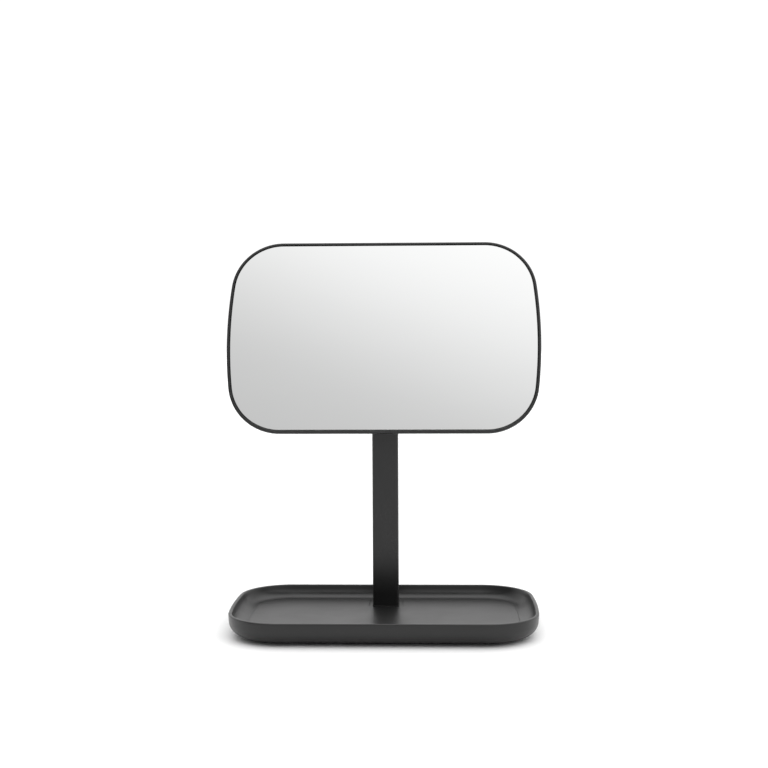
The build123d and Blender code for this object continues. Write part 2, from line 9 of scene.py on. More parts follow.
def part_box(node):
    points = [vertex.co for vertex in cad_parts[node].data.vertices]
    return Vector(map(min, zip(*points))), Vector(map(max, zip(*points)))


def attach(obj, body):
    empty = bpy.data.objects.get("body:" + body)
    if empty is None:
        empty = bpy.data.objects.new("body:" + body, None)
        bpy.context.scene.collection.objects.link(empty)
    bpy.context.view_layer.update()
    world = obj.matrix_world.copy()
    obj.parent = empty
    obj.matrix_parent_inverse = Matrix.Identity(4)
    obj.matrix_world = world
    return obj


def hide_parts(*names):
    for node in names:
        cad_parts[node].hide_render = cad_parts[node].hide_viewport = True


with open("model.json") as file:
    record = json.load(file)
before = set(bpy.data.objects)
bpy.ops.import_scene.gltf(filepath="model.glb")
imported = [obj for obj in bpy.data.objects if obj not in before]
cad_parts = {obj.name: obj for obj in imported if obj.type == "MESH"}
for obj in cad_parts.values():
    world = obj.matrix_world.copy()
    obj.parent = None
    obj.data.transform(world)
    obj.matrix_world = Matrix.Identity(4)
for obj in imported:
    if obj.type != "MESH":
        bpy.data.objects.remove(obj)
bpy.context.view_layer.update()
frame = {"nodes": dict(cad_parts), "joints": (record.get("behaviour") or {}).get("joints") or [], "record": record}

# Countertop mirror. Lengths are in millimetres and become metres in finish_piece.
# Angles are in degrees. Outlines and profiles are the ones that the CAD model has.

MM = 0.001
scene = bpy.context.scene
JOINTS = {joint["name"]: joint for joint in frame["joints"]}

# ---------------------------------------------------------------- driving dimensions

# Tray
TRAY_OUTLINE = (110.4, 64.9, 37.3, 422.0)
TRAY_BOTTOM = 1.8
TRAY_RIM = 17.0
DISH_FLOOR = 8.0
WALL_DRAFT = 0.8
UNDER_RADIUS = 10.5
DISH_DRAFT = 2.5
RIM_WIDTH = 2.4
RIM_ROUND = 0.9
COVE_RADIUS = 9.0
CAVITY_INSET = 16.5
CAVITY_TOP = 5.4

# Mat
MAT_INSET = 13.4
MAT_BOTTOM = 7.0
MAT_TOP = 8.3
MAT_GAP = 0.1
MAT_ROUND = 0.3
NOTCH_HALF = 12.5
NOTCH_FRONT = 25.2
NOTCH_ROUND = 3.0

# Feet, cover and its screws
COVER_GAP = 0.25
COVER_EDGE = 0.4
FOOT_RADIUS = 8.0
FOOT_TOP = TRAY_BOTTOM + 0.6
FOOT_EDGE = 0.4
FOOT_SEAT_GAP = 0.05
TREAD_GROOVES = ((5.6, 4.8), (3.0, 2.2))
TREAD_DEPTH = 0.35
COVER_SCREW_RADIUS = 1.3
COVER_SCREW_HEAD = 2.6
COVER_SCREW_TOP = 6.0
COVER_SCREW_DRIVE = (0.75, 1.15)
COVER_SCREW_DRIVE_DEPTH = 0.8

# Stem
STEM_Y = 33.0
STEM_HALF = (9.65, 6.0)
STEM_EDGE = 1.8
STEM_WALL = 1.5
STEM_BOTTOM = 8.8
STEM_TOP = 184.0
STEM_END_BREAK = 0.3
GASKET_OVERHANG = 0.2
FLANGE_TOP = 187.0
HEAD_PLUG_BOTTOM = 170.0
# Pins and screws that end in a surface stand proud of it by this
TIP_PROUD = 0.03
PIN_RADIUS = 1.25
PIN_INNER = 4.6
PLUG_GAP = 0.05
PLUG_EDGE = 0.4
FLANGE_BREAK = 0.4
KNUCKLE_BOTTOM = 187.85
KNUCKLE_TOP = 190.75
KNUCKLE_ROUND = 0.8
KNUCKLE_BREAK = 0.3
TONGUE_HALF = STEM_HALF[1] - 0.8
TONGUE_FLARE = 1.6

# Mirror head, measured from the tilt pin
HEAD_TILT = 18.0
HEAD_OUTLINE = (113.2, 71.6, 37.7, 323.0)
FACE_HEIGHT = (STEM_Y - 3.0) / math.cos(math.radians(HEAD_TILT))
SHELL_BACK = FACE_HEIGHT - 11.0
SHELL_ROUND = 9.8
LIP_WIDTH = 1.8
LIP_OUTER_ROUND = 1.1
LIP_INNER_ROUND = 0.25
LIP_WEAR_DEPTH = 0.35
LEDGE_INSET = 8.0
GLASS_FRONT = FACE_HEIGHT - 0.25
GLASS_BACK = GLASS_FRONT - 3.0
GLASS_INSET = LIP_WIDTH + 0.12
GLASS_BEVEL = 0.8
GLASS_BREAK = 0.3
LEDGE = GLASS_BACK - 1.0
BRACKET_BACK = SHELL_BACK - 2.2
BRACKET_HALF = (23.0, 15.0)
BRACKET_CORNER = 9.0
SCREW_RADIUS = 1.5
SCREW_HEAD_RADIUS = 2.75
SCREW_HEAD_HEIGHT = 2.0
SCREW_DRIVE = (0.8, 1.2)
SCREW_DRIVE_DEPTH = 0.9
SCREW_PLACES = [(x, y) for x in (-17.0, 17.0) for y in (-9.5, 9.5)]
BACKING_TOP = SHELL_BACK + 3.4
BRACKET_ROUND = 0.8
EYE_RADIUS = 6.5
EYE_HALF = 6.0
EAR_INNER = 6.85
EAR_OUTER = 9.35
EAR_FLARE = 2.5
EAR_ROUND = 0.35
EYE_ROUND = 0.45
RUNNING_FIT = 0.05

# Tilt pin, nut, washers and disc spring
TILT_PIN_RADIUS = 2.0
TILT_PIN_END = 15.65
TILT_HEAD_RADIUS = 3.5
TILT_HEAD_FACE = -11.95
TILT_HEAD_EDGE = 0.3
TILT_KEY_FLATS = 2.5
TILT_KEY_DEPTH = 1.6
NUT_FLATS = 7.0
NUT_CORNER = 4.1
NUT_COLLAR = 3.2
NUT_COLLAR_HEIGHT = 1.1
WASHER_RADIUS = 5.5
SPRING_RADIUS = 4.5
SPRING_THICKNESS = 0.8
RING_BORE = TILT_PIN_RADIUS + 0.1

# Camera: place, turn in radians (down, roll, to the left), lens, and clipping in metres
CAMERA_PLACE = (31.9, -947.6, 231.1)
CAMERA_TURN = (0.058, 0.005, 0.033)
CAMERA_SENSOR = 36.0
CAMERA_LENS = 61.98
CAMERA_CLIP = (0.01, 50.0)

# Studio
RADIANCE_UNIT = 4.0
BACKDROP_LIGHT = 1.15
BACKDROP_SEEN = 1.1
LIGHT_DIP = 20.6
# Sky in front of the object: share of the way from the horizon to the zenith, and radiance
SKY = ((0.0, 0.3), (0.15, 0.42), (0.30, 0.585), (0.345, 0.625), (0.385, 0.84), (0.42, 1.0), (0.46, 1.08),
       (0.51, 1.4), (0.57, 2.0), (0.64, 2.2), (1.0, 2.2))
# Where the sky gives way to the backdrop behind, and that to the overhead light, on a unit vector
BEHIND_FADE = (-0.35, 0.25)
OVERHEAD_FADE = (0.5, 0.9)
# Half the table's width, in metres
TABLE_REACH = 6.0

# How finely curves are cut
SIDE_STEPS = 14
CORNER_STEPS = 26
SMALL_STEPS = 6
TURNED_STEPS = 48
SHARP_ANGLE = math.radians(32)
# A ring this far past a rounded edge keeps the flat face beyond it flat under smooth shading
FLAT_MARGIN = 0.4

# Frames of reference: the stem's axis, the tilt pin, and the mirror head as it leans at rest.
# ACROSS has its local X along world +Y, its local Y along world +Z and its local Z along world +X.
AT_STEM = Matrix.Translation((0, STEM_Y, 0))
PIVOT = Vector(JOINTS["head_tilt"]["pos_m"]) / MM
ACROSS = Matrix.Translation(PIVOT) @ Matrix(((0, 0, 1, 0), (1, 0, 0, 0), (0, 1, 0, 0), (0, 0, 0, 1)))
tilt = math.radians(HEAD_TILT)
HEAD = Matrix.Translation(PIVOT) @ Matrix((
    (1, 0, 0, 0),
    (0, math.sin(tilt), -math.cos(tilt), 0),
    (0, math.cos(tilt), math.sin(tilt), 0),
    (0, 0, 0, 1),
))


# ---------------------------------------------------------------- outlines

def arc(centre, radius, start, end, steps, hollow=False):
    """Points along an arc, each with the normal that points out of the shape."""
    points = []
    for i in range(steps + 1):
        angle = math.radians(start + (end - start) * i / steps)
        ray = Vector((math.cos(angle), math.sin(angle)))
        points.append((Vector(centre) + radius * ray, -ray if hollow else ray))
    return points


def mirrored(points):
    """The same points on the other side of the Y axis, in the order that goes on round."""
    return [(Vector((-p.x, p.y)), Vector((-n.x, n.y))) for p, n in reversed(points)]


def half_turn(points):
    """The same points turned by half a turn about the origin."""
    return [(-p, -n) for p, n in points]


def bowed_outline(size, rear=()):
    """Straight long edges, round corners, slightly bowed short sides; rear goes into the rear edge."""
    half_width, half_height, corner, bow = size
    bow_x = half_width - bow
    corner_y = half_height - corner
    corner_x = bow_x + math.sqrt((bow - corner) ** 2 - corner_y**2)
    reach = math.degrees(math.atan2(corner_y, corner_x - bow_x))
    right = arc((bow_x, 0), bow, 0, reach, SIDE_STEPS)[:-1]
    right += arc((corner_x, corner_y), corner, reach, 90, CORNER_STEPS)
    upper = right + list(rear) + mirrored(right)
    return upper[:-1] + half_turn(right + mirrored(right))[:-1]


def rounded_outline(half, corner, steps=SMALL_STEPS):
    """Rectangle with round corners."""
    x, y = half[0] - corner, half[1] - corner
    first = arc((x, y), corner, 0, 90, steps)
    upper = first + mirrored(first)
    return upper + half_turn(upper)


def mat_outline():
    """The mat's outline, with the notch that clears the stem."""
    back = TRAY_OUTLINE[1] - MAT_INSET
    convex = (NOTCH_HALF + NOTCH_ROUND, back - NOTCH_ROUND)
    hollow = (NOTCH_HALF - NOTCH_ROUND, NOTCH_FRONT + NOTCH_ROUND)
    right = arc(convex, NOTCH_ROUND, 90, 180, SMALL_STEPS)
    right += arc(hollow, NOTCH_ROUND, 0, -90, SMALL_STEPS, hollow=True)
    size = tuple(length - MAT_INSET for length in TRAY_OUTLINE)
    return bowed_outline(size, rear=right + mirrored(right))


def round_profile(centre, radius, start, end, steps=SMALL_STEPS):
    """Part of a profile: (inset, height) pairs round an arc."""
    return [tuple(p) for p, _ in arc(centre, radius, start, end, steps)]


# ---------------------------------------------------------------- mesh building

def new_bmesh():
    """An empty bmesh with the wear values that the materials read."""
    bm = bmesh.new()
    bm.verts.layers.float.new("wear")
    return bm


def add_rings(bm, outline, profile, place=Matrix(), wear=None):
    """Walls between rings. Each ring is the outline moved inwards and set at a height."""
    layer = bm.verts.layers.float["wear"]
    rings = []
    for inset, height in profile:
        ring = []
        for point, normal in outline:
            flat = point - inset * normal
            vert = bm.verts.new(place @ Vector((flat.x, flat.y, height)))
            vert[layer] = wear(point, inset, height) if wear else 0.0
            ring.append(vert)
        rings.append(ring)
    for lower, upper in zip(rings, rings[1:]):
        for i in range(len(outline)):
            j = (i + 1) % len(outline)
            bm.faces.new((lower[i], lower[j], upper[j], upper[i]))
    return rings


def add_caps(bm, rings):
    """Flat faces over the first ring and the last."""
    bm.faces.new(rings[0])
    bm.faces.new(rings[-1])


def ring_edges(bm, ring):
    """The edges that join a ring's points, made where they are missing."""
    pairs = [(ring[i - 1], ring[i]) for i in range(len(ring))]
    return [bm.edges.get(pair) or bm.edges.new(pair) for pair in pairs]


def polygon(count, flats):
    """Radius of a regular polygon at an angle."""
    step = 2 * math.pi / count
    return lambda angle: flats / 2 / math.cos((angle % step) - step / 2)


def lobes(inner, outer, count=6):
    """Radius of a lobed screw drive at an angle."""
    return lambda angle: inner + (outer - inner) * (0.5 + 0.5 * math.cos(count * angle)) ** 0.8


def add_turned(bm, rings, place):
    """A turned shape. Each ring is (radius, height); a radius may change with the angle."""
    made = []
    for radius, height in rings:
        ring = []
        for i in range(TURNED_STEPS):
            angle = 2 * math.pi * i / TURNED_STEPS
            r = radius(angle) if callable(radius) else radius
            ring.append(bm.verts.new(place @ Vector((r * math.cos(angle), r * math.sin(angle), height))))
        made.append(ring)
    for lower, upper in zip(made, made[1:]):
        for i in range(TURNED_STEPS):
            j = (i + 1) % TURNED_STEPS
            bm.faces.new((lower[i], lower[j], upper[j], upper[i]))
    return made


def finish_piece(bm, name, body, slot, replaced, extra=()):
    """Turn a bmesh into a piece that rides on a body and stands for CAD nodes.

    The slot's material comes first, and any extra ones after it.
    """
    bmesh.ops.recalc_face_normals(bm, faces=bm.faces)
    for face in bm.faces:
        face.smooth = True
    for edge in bm.edges:
        if len(edge.link_faces) == 2 and edge.calc_face_angle() > SHARP_ANGLE:
            edge.smooth = False
    bmesh.ops.scale(bm, vec=(MM, MM, MM), verts=bm.verts)
    mesh = bpy.data.meshes.new(name)
    bm.to_mesh(mesh)
    bm.free()
    for material in (MATERIALS[slot], *extra):
        mesh.materials.append(material)
    piece = bpy.data.objects.new(name, mesh)
    scene.collection.objects.link(piece)
    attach(piece, body)
    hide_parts(*replaced)
    return piece


# ---------------------------------------------------------------- shader building

class Graph:
    """Adds shader nodes to a tree and links them."""

    def __init__(self, tree):
        self.tree = tree
        tree.nodes.clear()

    def add(self, kind, inputs=(), **settings):
        node = self.tree.nodes.new(kind)
        for key, value in settings.items():
            setattr(node, key, value)
        for key, value in dict(inputs).items():
            self.feed(node.inputs[key], value)
        return node

    def feed(self, socket, value):
        if isinstance(value, bpy.types.NodeSocket):
            self.tree.links.new(value, socket)
        else:
            socket.default_value = value

    def math(self, operation, *values, clamp=False):
        node = self.add("ShaderNodeMath", operation=operation, use_clamp=clamp)
        for socket, value in zip(node.inputs, values):
            self.feed(socket, value)
        return node.outputs[0]

    def mix(self, factor, a, b):
        node = self.add("ShaderNodeMix", data_type="RGBA")
        self.feed(node.inputs[0], factor)
        self.feed(node.inputs[6], a)
        self.feed(node.inputs[7], b)
        return node.outputs[2]

    def spread(self, value, low, high, out_low=0.0, out_high=1.0, smooth=False):
        """Value between low and high, stretched to run from out_low to out_high."""
        kind = "SMOOTHSTEP" if smooth else "LINEAR"
        inputs = {"Value": value, "From Min": low, "From Max": high, "To Min": out_low, "To Max": out_high}
        return self.add("ShaderNodeMapRange", inputs, interpolation_type=kind).outputs[0]

    def noise(self, coords, size, detail, roughness):
        """Cloudy noise with features about size millimetres across."""
        inputs = {"Vector": coords, "Scale": 1 / (size * MM), "Detail": detail, "Roughness": roughness}
        return self.add("ShaderNodeTexNoise", inputs).outputs[0]

    def cells(self, coords, size):
        """Rounded cells about size millimetres across."""
        inputs = {"Vector": coords, "Scale": 1 / (size * MM)}
        return self.add("ShaderNodeTexVoronoi", inputs, feature="SMOOTH_F1").outputs["Distance"]


# Nearly all of a noise texture's values lie between these
NOISE_RANGE = (0.3, 0.7)


def grey(level, tint=(1.0, 1.0, 1.0)):
    """Linear colour of a grey, with a tint."""
    return (level * tint[0], level * tint[1], level * tint[2], 1.0)


def surface(name, level, rough, tint=(1, 1, 1), metallic=0.0, specular=0.5, mottle=(40, 0.15),
            grain=(0.5, 0.012), pebble=None, stretch=(1, 1, 1), rough_spread=0.05, wear=(0.012, 0.44)):
    """Material with uneven colour and roughness, a fine surface grain and worn edges.

    level is the mean grey; mottle is (size, share) of the colour's unevenness; grain and
    pebble are (size, height) of the bump in millimetres; stretch draws the grain out into
    brush marks; wear is the (grey, roughness) of rubbed edges.
    """
    material = bpy.data.materials.new(name)
    material.use_nodes = True
    graph = Graph(material.node_tree)
    coords = graph.add("ShaderNodeTexCoord").outputs["Object"]
    drawn = graph.add("ShaderNodeMapping", {"Vector": coords, "Scale": stretch}).outputs[0]
    clouds = graph.noise(coords, mottle[0], 4.0, 0.6)
    fine = graph.noise(drawn, grain[0], 3.0, 0.6)
    # Colour: slow clouds, a little of the fine grain, then rubbed edges
    tone = graph.math("ADD", graph.math("MULTIPLY", clouds, 0.75), graph.math("MULTIPLY", fine, 0.25))
    dark = grey(level * (1 - mottle[1]), tint)
    light = grey(level * (1 + mottle[1]), tint)
    colour = graph.mix(graph.spread(tone, *NOISE_RANGE), dark, light)
    edge = graph.add("ShaderNodeAttribute", attribute_name="wear").outputs["Fac"]
    patches = graph.spread(graph.noise(coords, 6, 5.0, 0.65), 0.45, 0.7, smooth=True)
    rubbed = graph.math("MULTIPLY", edge, patches, clamp=True)
    colour = graph.mix(rubbed, colour, grey(wear[0], tint))
    # Roughness: the same clouds and grain, and rubbed edges again
    uneven = graph.spread(tone, *NOISE_RANGE, rough - rough_spread, rough + rough_spread)
    uneven_share = graph.math("MULTIPLY", uneven, graph.math("SUBTRACT", 1.0, rubbed))
    roughness = graph.math("MULTIPLY_ADD", rubbed, wear[1], uneven_share)
    # Bump: fine grain, and the pebbles of a moulded or powder-coated skin
    height = graph.math("MULTIPLY", fine, grain[1] * MM)
    if pebble:
        pebbles = graph.cells(drawn, pebble[0])
        height = graph.math("MULTIPLY_ADD", pebbles, pebble[1] * MM, height)
    bump = graph.add("ShaderNodeBump", {"Height": height, "Distance": 1.0, "Strength": 1.0})
    shader = graph.add("ShaderNodeBsdfPrincipled", {
        "Base Color": colour, "Roughness": roughness, "Normal": bump.outputs[0],
        "Metallic": metallic, "Specular IOR Level": specular})
    graph.add("ShaderNodeOutputMaterial", {"Surface": shader.outputs[0]})
    return material


def mirror_silver(name):
    """Silvered glass: clean, with the faintest wiping haze and almost no colour."""
    material = bpy.data.materials.new(name)
    material.use_nodes = True
    graph = Graph(material.node_tree)
    coords = graph.add("ShaderNodeTexCoord").outputs["Object"]
    sweep = graph.add("ShaderNodeMapping", {"Vector": coords, "Scale": (0.3, 1, 1)}).outputs[0]
    haze = graph.noise(sweep, 30, 5.0, 0.6)
    colour = graph.mix(graph.spread(haze, *NOISE_RANGE), (0.938, 0.943, 0.94, 1), (0.945, 0.95, 0.947, 1))
    roughness = graph.spread(haze, 0.45, 0.8, 0.0, 0.02)
    shader = graph.add("ShaderNodeBsdfPrincipled", {
        "Base Color": colour, "Roughness": roughness, "Metallic": 1.0})
    graph.add("ShaderNodeOutputMaterial", {"Surface": shader.outputs[0]})
    return material


MATERIALS = {
    "tray_plastic": surface("tray_plastic", 0.004, 0.36, grain=(0.35, 0.0015), pebble=(0.6, 0.002)),
    "mat": surface("mat", 0.006, 0.38, grain=(0.25, 0.0015), mottle=(25, 0.2), rough_spread=0.03),
    "cover_plastic": surface("cover_plastic", 0.012, 0.55, grain=(0.5, 0.02), pebble=(0.9, 0.015)),
    "foot_rubber": surface("foot_rubber", 0.014, 0.7, grain=(0.3, 0.02), specular=0.35),
    "stem_paint": surface("stem_paint", 0.002, 0.3, grain=(0.3, 0.001), pebble=(0.7, 0.002)),
    "knuckle_paint": surface("knuckle_paint", 0.006, 0.42, grain=(0.3, 0.006), pebble=(0.6, 0.006)),
    "shell_plastic": surface("shell_plastic", 0.004, 0.36, grain=(0.35, 0.0015), pebble=(0.6, 0.002)),
    "mirror": mirror_silver("mirror"),
    "foam": surface("foam", 0.09, 0.85, grain=(0.3, 0.05), pebble=(0.5, 0.08), specular=0.2),
    "steel": surface("steel", 0.3, 0.28, (1, 1, 1.03), 1.0, grain=(0.15, 0.002), mottle=(4, 0.15),
                     rough_spread=0.07, wear=(0.6, 0.25)),
    "cast_metal": surface("cast_metal", 0.6, 0.35, (1, 1, 1.01), 1.0, grain=(0.2, 0.006),
                          stretch=(1, 1, 6), mottle=(8, 0.1), wear=(0.7, 0.3)),
    "bush_plastic": surface("bush_plastic", 0.72, 0.4, (1, 0.99, 0.94), mottle=(6, 0.04), wear=(0.6, 0.5)),
}
GROUND_EDGE = surface("ground_edge", 0.88, 0.12, (0.985, 1, 0.99), 1.0, grain=(0.2, 0.0015),
                      mottle=(10, 0.03), rough_spread=0.04, wear=(0.9, 0.15))


# ---------------------------------------------------------------- tray

def rim_wear(point, inset, height):
    """Rubbing is on the top of the rim only."""
    return 1.0 if height > TRAY_RIM - RIM_ROUND * 0.6 else 0.0


def wall_arc(radius, wall, centre_z, side, start, end, steps):
    """Arc that touches a leaning wall, given by its foot and top as (inset, height).

    side is 1 where the arc's centre lies further in than the wall, and -1 where further out.
    """
    (foot_u, foot_z), (top_u, top_z) = wall
    lean = math.atan2(foot_u - top_u, top_z - foot_z)
    wall_u = top_u + (top_z - centre_z) * math.tan(lean)
    return round_profile((wall_u + side * radius / math.cos(lean), centre_z), radius, start, end, steps)


def tray_profile():
    """From the end of the cove, over the rim, down the wall and under to the cavity's roof."""
    outer = ((WALL_DRAFT, TRAY_BOTTOM), (0.0, TRAY_RIM))
    inner = ((RIM_WIDTH + DISH_DRAFT, DISH_FLOOR), (RIM_WIDTH, TRAY_RIM))
    outer_lean = math.degrees(math.atan2(WALL_DRAFT, TRAY_RIM - TRAY_BOTTOM))
    inner_lean = math.degrees(math.atan2(DISH_DRAFT, TRAY_RIM - DISH_FLOOR))
    cove = wall_arc(COVE_RADIUS, inner, DISH_FLOOR + COVE_RADIUS, 1, 270, 180 + inner_lean, 14)
    inner_rim = wall_arc(RIM_ROUND, inner, TRAY_RIM - RIM_ROUND, -1, inner_lean, 90, SMALL_STEPS)
    outer_rim = wall_arc(RIM_ROUND, outer, TRAY_RIM - RIM_ROUND, 1, 90, 180 + outer_lean, SMALL_STEPS)
    under = wall_arc(UNDER_RADIUS, outer, TRAY_BOTTOM + UNDER_RADIUS, 1, 180 + outer_lean, 270, 16)
    profile = [(cove[0][0] + FLAT_MARGIN, DISH_FLOOR)] + cove + inner_rim + outer_rim + under
    profile += [(under[-1][0] + FLAT_MARGIN, TRAY_BOTTOM), (CAVITY_INSET, TRAY_BOTTOM)]
    return profile + [(CAVITY_INSET, CAVITY_TOP)]


def make_tray():
    """Dish with a rolled-under outside and a recess for the mat."""
    bm = new_bmesh()
    rings = add_rings(bm, bowed_outline(TRAY_OUTLINE), tray_profile(), wear=rim_wear)
    bm.faces.new(rings[-1])
    recess = add_rings(bm, mat_outline(), [(0, DISH_FLOOR), (0, MAT_BOTTOM)])
    bm.faces.new(recess[-1])
    border = ring_edges(bm, rings[0]) + ring_edges(bm, recess[0])
    bmesh.ops.triangle_fill(bm, edges=border, use_beauty=True)
    finish_piece(bm, "dish_tray", "base", "tray_plastic", ["tray"])


def make_mat():
    """Thin mat with a softened upper edge."""
    bm = new_bmesh()
    side = MAT_TOP - MAT_ROUND
    profile = [(MAT_GAP, MAT_BOTTOM), (MAT_GAP, side)]
    profile += round_profile((MAT_GAP + MAT_ROUND, side), MAT_ROUND, 180, 90)[1:]
    profile += [(MAT_GAP + 2 * MAT_ROUND, MAT_TOP)]
    add_caps(bm, add_rings(bm, mat_outline(), profile))
    finish_piece(bm, "dish_mat", "base", "mat", ["tray_mat"])


# ---------------------------------------------------------------- underside

def places_of(node):
    """Middles of the separate solids of a CAD node, in millimetres, found from its loose parts."""
    bm = bmesh.new()
    bm.from_mesh(frame["nodes"][node].data)
    bmesh.ops.remove_doubles(bm, verts=bm.verts, dist=1e-7)
    todo = set(bm.verts)
    middles = []
    while todo:
        part, front = set(), [todo.pop()]
        while front:
            vert = front.pop()
            part.add(vert)
            for edge in vert.link_edges:
                other = edge.other_vert(vert)
                if other in todo:
                    todo.discard(other)
                    front.append(other)
        low = Vector(min(v.co[k] for v in part) for k in range(3))
        high = Vector(max(v.co[k] for v in part) for k in range(3))
        middles.append((low + high) / 2 / MM)
    bm.free()
    return sorted(middles, key=lambda m: (round(m.x, 2), round(m.y, 2), round(m.z, 2)))


def make_feet():
    """Rubber discs with a rounded tread edge and two grip grooves."""
    bm = new_bmesh()
    rings = [(FOOT_RADIUS, FOOT_TOP), (FOOT_RADIUS, FOOT_EDGE), (FOOT_RADIUS - 0.1, 0.15),
             (FOOT_RADIUS - FOOT_EDGE, 0.0)]
    for outer, inner in TREAD_GROOVES:
        rings += [(outer, 0.0), (outer - 0.1, TREAD_DEPTH), (inner + 0.1, TREAD_DEPTH), (inner, 0.0)]
    for middle in places_of("base_feet"):
        add_caps(bm, add_turned(bm, rings, Matrix.Translation((middle.x, middle.y, 0))))
    finish_piece(bm, "grip_feet", "base", "foot_rubber", ["base_feet"])


def make_base_screws():
    """Countersunk screws with a lobed drive, heads flush with the cover."""
    bm = new_bmesh()
    drive = lobes(*COVER_SCREW_DRIVE)
    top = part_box("base_cover")[1].z / MM
    rings = [(COVER_SCREW_RADIUS, COVER_SCREW_TOP), (COVER_SCREW_RADIUS, top),
             (COVER_SCREW_HEAD - 0.15, TRAY_BOTTOM + 0.15), (COVER_SCREW_HEAD, TRAY_BOTTOM + 0.05),
             (COVER_SCREW_HEAD - 0.1, TRAY_BOTTOM), (drive, TRAY_BOTTOM),
             (drive, TRAY_BOTTOM + COVER_SCREW_DRIVE_DEPTH)]
    for middle in places_of("base_screws"):
        add_caps(bm, add_turned(bm, rings, Matrix.Translation((middle.x, middle.y, 0))))
    finish_piece(bm, "cover_screws", "base", "steel", ["base_screws"])


def make_base_cover():
    """Flat cover with shallow seats for the feet and a rounded outer edge."""
    bm = new_bmesh()
    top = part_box("base_cover")[1].z / MM
    inset = CAVITY_INSET + COVER_GAP
    corner = 0.3 * COVER_EDGE
    profile = [(inset + 1.0, TRAY_BOTTOM), (inset + COVER_EDGE, TRAY_BOTTOM),
               (inset + corner, TRAY_BOTTOM + corner), (inset, TRAY_BOTTOM + COVER_EDGE), (inset, top)]
    rings = add_rings(bm, bowed_outline(TRAY_OUTLINE), profile)
    bm.faces.new(rings[-1])
    border = ring_edges(bm, rings[0])
    seat_radius = FOOT_RADIUS + FOOT_SEAT_GAP
    seat = [(seat_radius, TRAY_BOTTOM), (seat_radius, FOOT_TOP)]
    sink = [(COVER_SCREW_HEAD + 0.05, TRAY_BOTTOM), (COVER_SCREW_RADIUS + 0.05, top - 0.05)]
    for node, hollow in (("base_feet", seat), ("base_screws", sink)):
        for middle in places_of(node):
            made = add_turned(bm, hollow, Matrix.Translation((middle.x, middle.y, 0)))
            bm.faces.new(made[-1])
            border += ring_edges(bm, made[0])
    bmesh.ops.triangle_fill(bm, edges=border, use_beauty=True)
    finish_piece(bm, "bottom_cover", "base", "cover_plastic", ["base_cover"])


# ---------------------------------------------------------------- stem

def stem_wear(point, inset, height):
    """Rubbing is on the upright edges and the ends of the tube."""
    near_side = abs(point.x) > STEM_HALF[0] - 0.6 * STEM_EDGE
    near_face = abs(point.y) > STEM_HALF[1] - 0.9 * STEM_EDGE
    return 0.8 if near_side and near_face or height > STEM_TOP - 0.5 else 0.0


def make_stem():
    """Rectangular tube, open at both ends, with broken end edges."""
    bm = new_bmesh()
    edge = STEM_END_BREAK
    profile = [(STEM_WALL, STEM_BOTTOM), (edge, STEM_BOTTOM), (0, STEM_BOTTOM + edge), (0, STEM_BOTTOM + 1),
               (0, STEM_TOP - 1), (0, STEM_TOP - edge), (edge, STEM_TOP), (STEM_WALL, STEM_TOP)]
    rings = add_rings(bm, rounded_outline(STEM_HALF, STEM_EDGE), profile, AT_STEM, stem_wear)
    for i in range(len(rings[0])):
        j = (i + 1) % len(rings[0])
        bm.faces.new((rings[-1][i], rings[-1][j], rings[0][j], rings[0][i]))
    finish_piece(bm, "stem_tube", "base", "stem_paint", ["stem"])


def make_stem_pins():
    """Drive pins that hold the plugs, one in each narrow side, their ends just domed."""
    bm = new_bmesh()
    end = STEM_HALF[0] + TIP_PROUD
    rings = [(PIN_RADIUS - 0.2, PIN_INNER), (PIN_RADIUS, PIN_INNER + 0.3), (PIN_RADIUS, end - 0.2),
             (PIN_RADIUS - 0.2, end - 0.06), (PIN_RADIUS / 2, end)]
    for middle in places_of("stem_pins"):
        side = 1 if middle.x > 0 else -1
        place = Matrix(((0, 0, side, 0), (1, 0, 0, middle.y), (0, side, 0, middle.z), (0, 0, 0, 1)))
        add_caps(bm, add_turned(bm, rings, place))
    finish_piece(bm, "drive_pins", "base", "steel", ["stem_pins"])


def make_gasket():
    """Thin seal that shows as a narrow line round the foot of the stem."""
    bm = new_bmesh()
    half = (STEM_HALF[0] + GASKET_OVERHANG, STEM_HALF[1] + GASKET_OVERHANG)
    profile = [(0.1, DISH_FLOOR), (0, DISH_FLOOR + 0.15), (0, STEM_BOTTOM - 0.25), (0.2, STEM_BOTTOM),
               (0.5, STEM_BOTTOM)]
    add_caps(bm, add_rings(bm, rounded_outline(half, STEM_EDGE + GASKET_OVERHANG), profile, AT_STEM))
    finish_piece(bm, "foot_gasket", "base", "foot_rubber", ["stem_gasket"])


def make_head_plug():
    """Flange on top of the stem, with the plug that goes down inside it."""
    bm = new_bmesh()
    corner = 0.3 * FLANGE_BREAK
    flange = [(3, STEM_TOP), (0.25, STEM_TOP), (0, STEM_TOP + 0.25), (0, FLANGE_TOP - FLANGE_BREAK),
              (corner, FLANGE_TOP - corner), (FLANGE_BREAK, FLANGE_TOP), (1, FLANGE_TOP)]
    add_caps(bm, add_rings(bm, rounded_outline(STEM_HALF, STEM_EDGE), flange, AT_STEM, stem_wear))
    inside = STEM_WALL + PLUG_GAP
    plug_half = (STEM_HALF[0] - inside, STEM_HALF[1] - inside)
    plug = [(PLUG_EDGE, HEAD_PLUG_BOTTOM), (0, HEAD_PLUG_BOTTOM + PLUG_EDGE), (0, STEM_TOP)]
    add_caps(bm, add_rings(bm, rounded_outline(plug_half, PLUG_EDGE), plug, AT_STEM))
    finish_piece(bm, "stem_flange", "base", "knuckle_paint", ["stem_head_plug"])


# ---------------------------------------------------------------- knuckle

